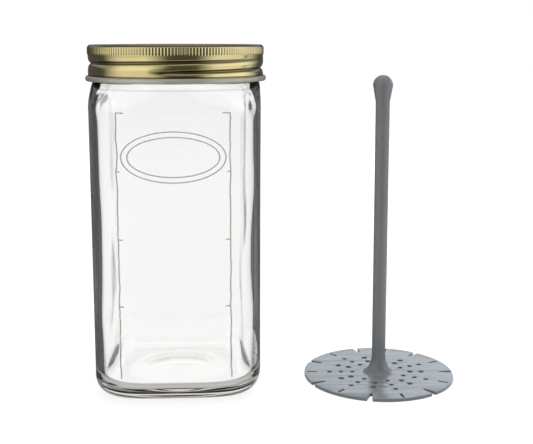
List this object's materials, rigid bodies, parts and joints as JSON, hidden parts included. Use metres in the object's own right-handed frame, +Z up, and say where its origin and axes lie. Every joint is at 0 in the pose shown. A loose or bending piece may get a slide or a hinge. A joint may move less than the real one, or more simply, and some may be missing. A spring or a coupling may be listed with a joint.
{
  "type": "pickle keeper with lift strainer",
  "caption": "Square glass jar with a two-part gold screw closure, and a slotted strainer plate on a tall stem that lifts the contents out of the jar.",
  "frame": {"origin": "centre of the pair's footprint, on the surface that the jar and the strainer stand on", "axes": "+Z up; +X from the jar towards the strainer that stands beside it; the pictured front faces -Y"},
  "size_m": [0.1878, 0.0904, 0.172],
  "materials": {
    "glass": "clear pressed soda-lime glass, fire-polished",
    "sealing_compound": "matt flowed-in sealing compound",
    "gold_tinplate": "glossy gold lacquer on thin tinplate",
    "grey_plastic": "satin moulded plastic"
  },
  "bodies": {
    "jar": {"glass_jar": "glass"},
    "lid": {"lid_disc": "gold_tinplate", "sealing_ring": "sealing_compound"},
    "band": {"screw_band": "gold_tinplate"},
    "lifter": {"strainer_plate": "grey_plastic", "lifter_stem": "grey_plastic"}
  },
  "joints": [
    {"name": "lid_lift", "type": "slide", "parent": "jar", "child": "lid", "axis": [0, 0, 1], "range_m": [0, 0.02]},
    {"name": "band_turn", "type": "hinge", "parent": "lid", "child": "band", "pos_m": [-0.04875, 0, 0.165], "axis": [0, 0, 1], "range_deg": [0, 1570]},
    {"name": "lifter_lift", "type": "slide", "parent": "jar", "child": "lifter", "axis": [0, 0, 1], "range_m": [0, 0.2]}
  ],
  "couplings": [
    {"joint": "band_turn", "follows": "lid_lift", "rad_per_m": 1365.9}
  ]
}
